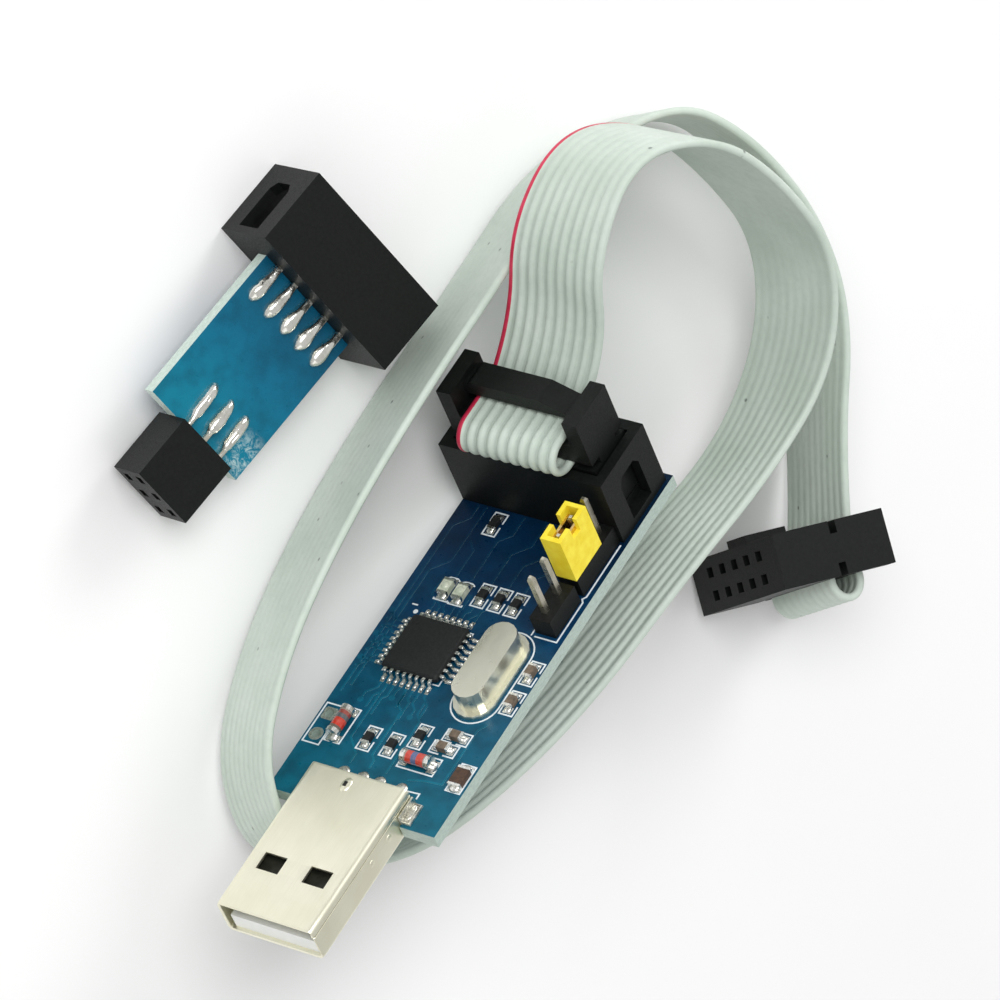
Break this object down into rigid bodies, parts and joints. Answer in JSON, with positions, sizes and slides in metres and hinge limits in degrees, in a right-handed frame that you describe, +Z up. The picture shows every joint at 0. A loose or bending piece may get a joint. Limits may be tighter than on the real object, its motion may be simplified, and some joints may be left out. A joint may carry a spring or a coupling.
{
  "type": "usb microcontroller programmer",
  "caption": "Bare programmer board with a USB plug, a boxed pin header, a pushed-on ribbon cable with a socket at each end, a jumper cap and a small pin adapter.",
  "frame": {"origin": "centre of the footprint of board, plug and adapter, on the table they lie on", "axes": "+Z up from the table; +Y from the USB plug's end towards the pin header's end; +X from the adapter's side towards the ribbon's free socket"},
  "size_m": [0.0816, 0.1011, 0.0308],
  "materials": {
    "board_mask": "dark blue solder mask over fibreglass",
    "adapter_mask": "light blue solder mask over fibreglass",
    "usb_metal": "warm tin-plated steel",
    "white_plastic": "white insulator",
    "gold": "gold-plated contacts",
    "black_plastic": "moulded black, faint mould marks",
    "pin_metal": "plated square posts",
    "yellow_plastic": "bright yellow moulding",
    "chip_black": "black moulded package",
    "solder": "bright solder and tinned metal",
    "crystal_metal": "satin nickel can",
    "ceramic_tan": "tan ceramic",
    "led_clear": "clear resin over pale base",
    "fuse_brown": "brown resin",
    "diode_glass": "glass tube with red die",
    "ribbon_grey": "grey vinyl, ribbed, one red edge"
  },
  "bodies": {
    "root": {"circuit_board": "board_mask", "usb_shell": "usb_metal", "usb_tongue": "white_plastic", "usb_contacts": "gold", "box_header_shroud": "black_plastic", "box_header_pins": "pin_metal", "two_pin_strip": "black_plastic", "two_pin_strip_pins": "pin_metal", "three_pin_strip": "black_plastic", "three_pin_strip_pins": "pin_metal", "microcontroller_body": "chip_black", "microcontroller_leads": "solder", "crystal_base": "crystal_metal", "crystal_can": "crystal_metal", "chip_resistors": "chip_black", "chip_resistors_ends": "solder", "chip_capacitors": "ceramic_tan", "chip_capacitors_ends": "solder", "status_leds": "led_clear", "status_leds_ends": "solder", "resettable_fuse": "fuse_brown", "resettable_fuse_ends": "solder", "glass_diodes": "diode_glass", "diode_caps": "solder", "solder_joints": "solder", "usb_solder": "solder", "far_socket_body": "black_plastic", "far_socket_contacts": "pin_metal", "far_socket_cover": "black_plastic", "far_strain_relief": "black_plastic", "far_ribbon_fold": "ribbon_grey", "ribbon_rise": "ribbon_grey", "ribbon_first_arch": "ribbon_grey", "ribbon_outer_run": "ribbon_grey", "ribbon_under_loop": "ribbon_grey", "ribbon_inner_run": "ribbon_grey", "ribbon_second_arch": "ribbon_grey", "ribbon_tail": "ribbon_grey"},
    "ribbon_plug": {"near_socket_body": "black_plastic", "near_socket_contacts": "pin_metal", "near_socket_cover": "black_plastic", "near_strain_relief": "black_plastic", "near_ribbon_fold": "ribbon_grey"},
    "jumper_cap": {"jumper_shell": "yellow_plastic", "jumper_clip": "gold"},
    "adapter": {"adapter_board": "adapter_mask", "adapter_box_header": "black_plastic", "adapter_header_pins": "solder", "adapter_socket": "black_plastic", "adapter_socket_contacts": "pin_metal", "adapter_solder": "solder"}
  },
  "joints": [
    {"name": "ribbon_plug_pull", "type": "slide", "parent": "root", "child": "ribbon_plug", "axis": [-0.9347, 0.0803, 0.3463], "range_m": [0, 0.006], "deforming": ["ribbon_rise", "ribbon_inner_run"]},
    {"name": "jumper_pull", "type": "slide", "parent": "root", "child": "jumper_cap", "axis": [-0.9347, 0.0803, 0.3463], "range_m": [0, 0.006]},
    {"name": "adapter_lift", "type": "slide", "parent": "root", "child": "adapter", "axis": [0, 0, 1], "range_m": [0, 0.03]}
  ]
}
